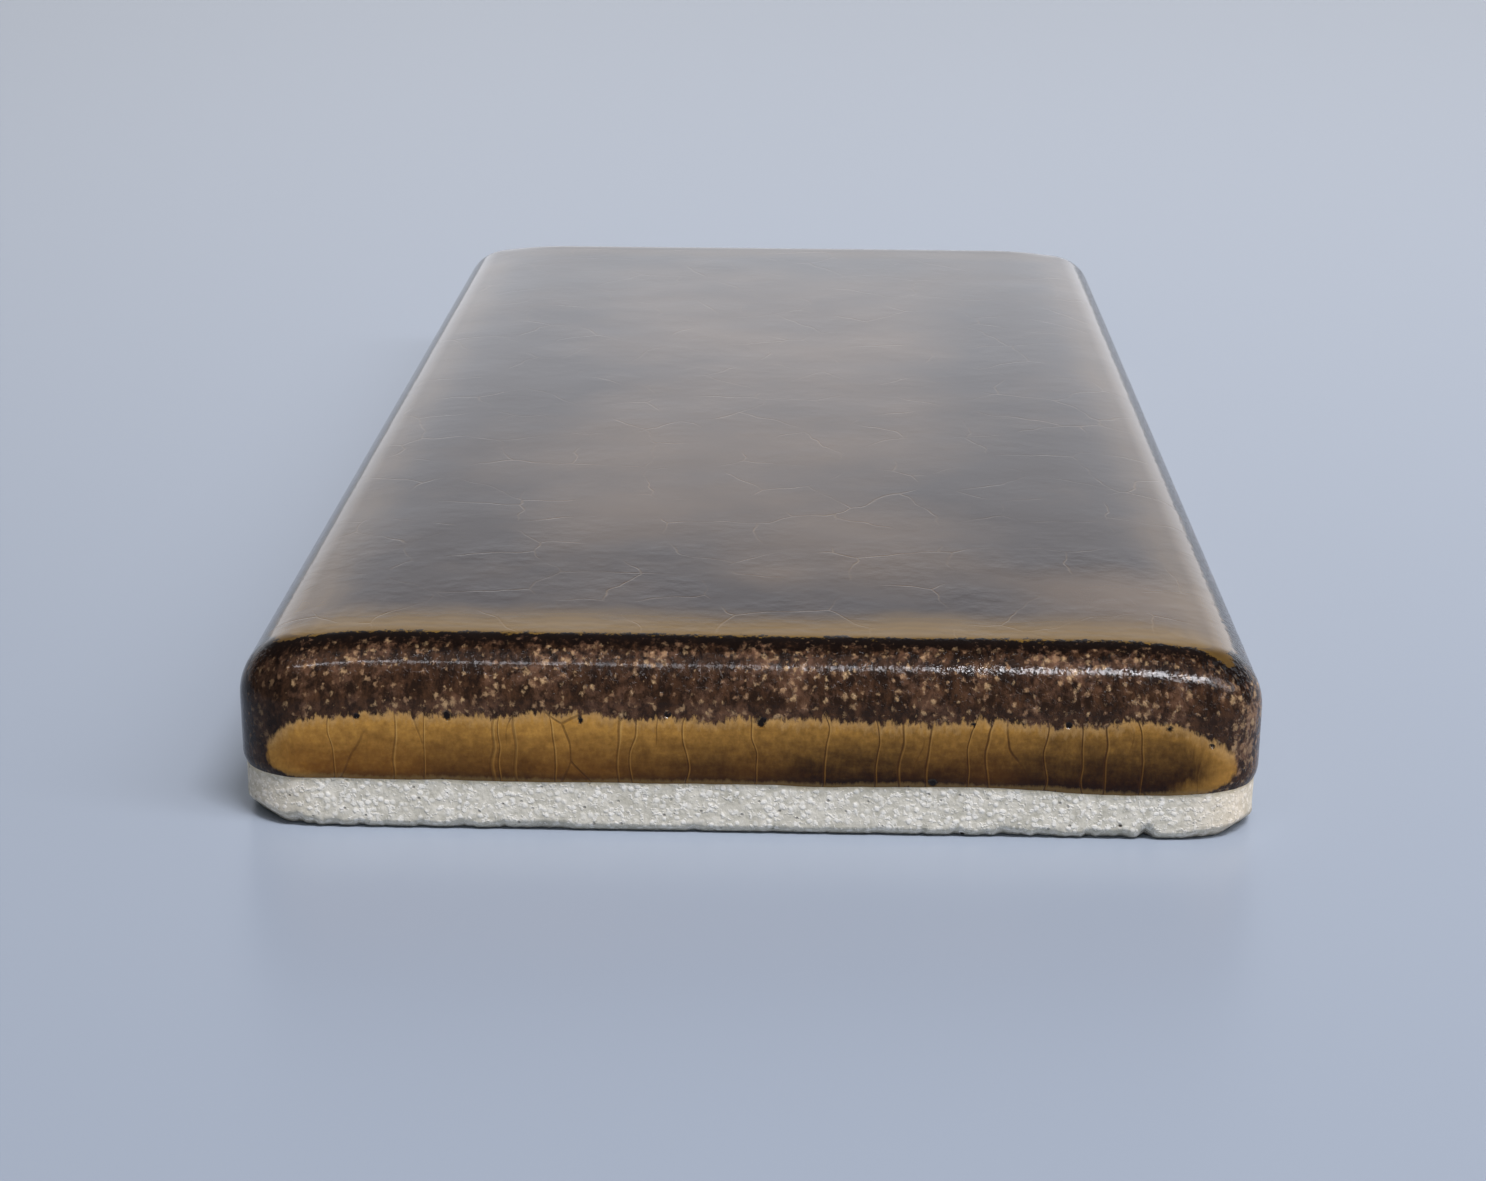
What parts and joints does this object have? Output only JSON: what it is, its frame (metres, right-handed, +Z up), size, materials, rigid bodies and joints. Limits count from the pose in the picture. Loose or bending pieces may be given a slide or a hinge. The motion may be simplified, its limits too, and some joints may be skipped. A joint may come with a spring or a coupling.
{
  "type": "glazed tile",
  "caption": "Rectangular stoneware field tile with a cushion edge, a mottled brown and amber glaze on face and sides, and a bare foot.",
  "frame": {"origin": "centre of the bedding face, the flat underside", "axes": "+Z up out of the glazed face, +Y along the tile's length, +X along its width"},
  "size_m": [0.075, 0.15, 0.014],
  "materials": {
    "glazed_stoneware": "glossy mottled iron glaze over bare fired stoneware"
  },
  "bodies": {
    "root": {"glazed_tile": "glazed_stoneware"}
  },
  "joints": []
}
